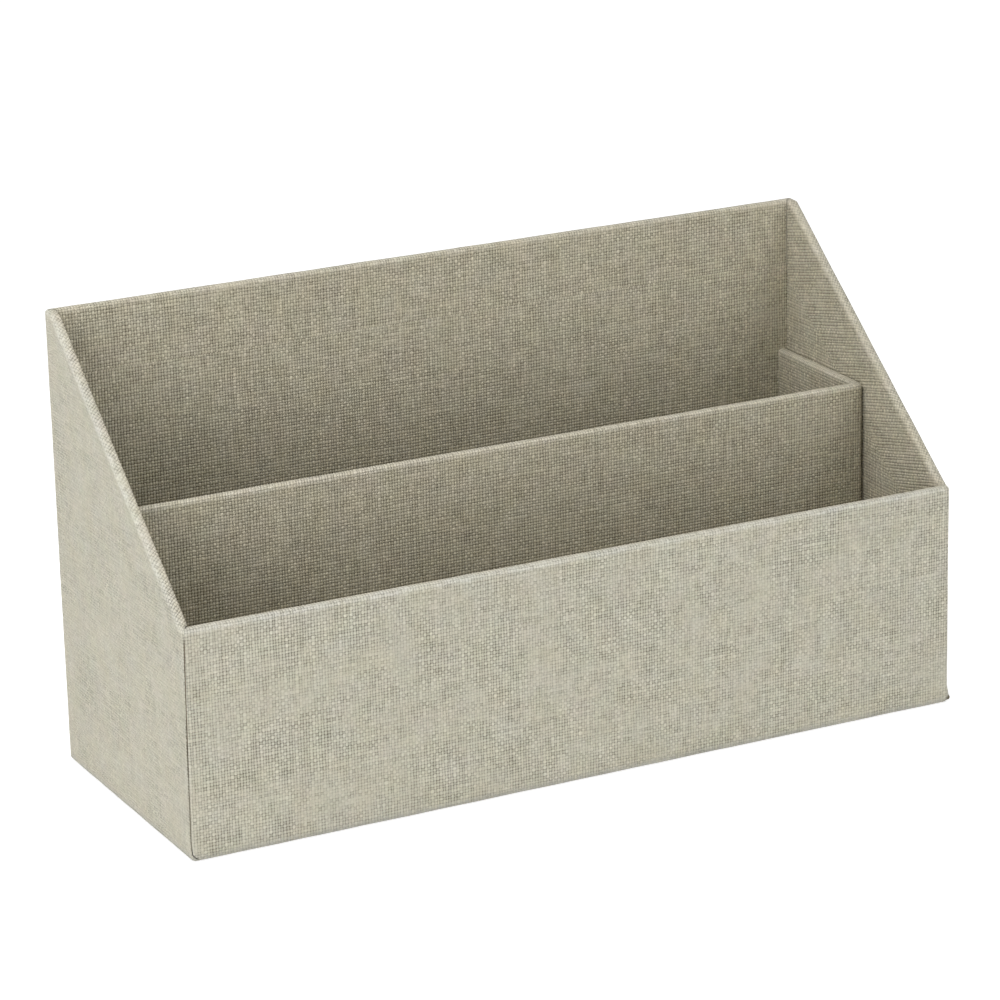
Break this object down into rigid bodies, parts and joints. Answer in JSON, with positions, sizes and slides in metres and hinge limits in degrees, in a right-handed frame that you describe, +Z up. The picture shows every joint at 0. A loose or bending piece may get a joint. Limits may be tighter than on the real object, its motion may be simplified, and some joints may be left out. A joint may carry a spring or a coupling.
{
  "type": "letter holder",
  "caption": "Cloth-covered board letter holder with a low front, tall back and sloping sides; a divider insert splits it into a front and a rear pocket for letters.",
  "frame": {"origin": "middle of the flat underside that it stands on", "axes": "+X to the right seen from the low front, +Y to the tall back, +Z up"},
  "size_m": [0.25, 0.093, 0.139],
  "materials": {
    "cover_cloth": "matt plain-weave linen bookcloth, beige grey, about ten threads to the centimetre",
    "lining_cloth": "the same cloth, pasted to the inside of the boards",
    "board": "bare grey bookbinder's board",
    "base_paper": "uncoated beige paper",
    "stay_paper": "brown gummed kraft tape"
  },
  "bodies": {
    "root": {"base_board": "board", "front_board": "board", "back_board": "board", "left_side_board": "board", "right_side_board": "board", "divider_board": "board", "left_wing_board": "board", "right_wing_board": "board", "outer_wrap": "cover_cloth", "insert_cover": "cover_cloth", "floor_lining": "lining_cloth", "front_lining": "lining_cloth", "back_lining": "lining_cloth", "left_lining": "lining_cloth", "right_lining": "lining_cloth", "insert_lining": "lining_cloth", "underside_sheet": "base_paper", "corner_stays": "stay_paper"}
  },
  "joints": []
}
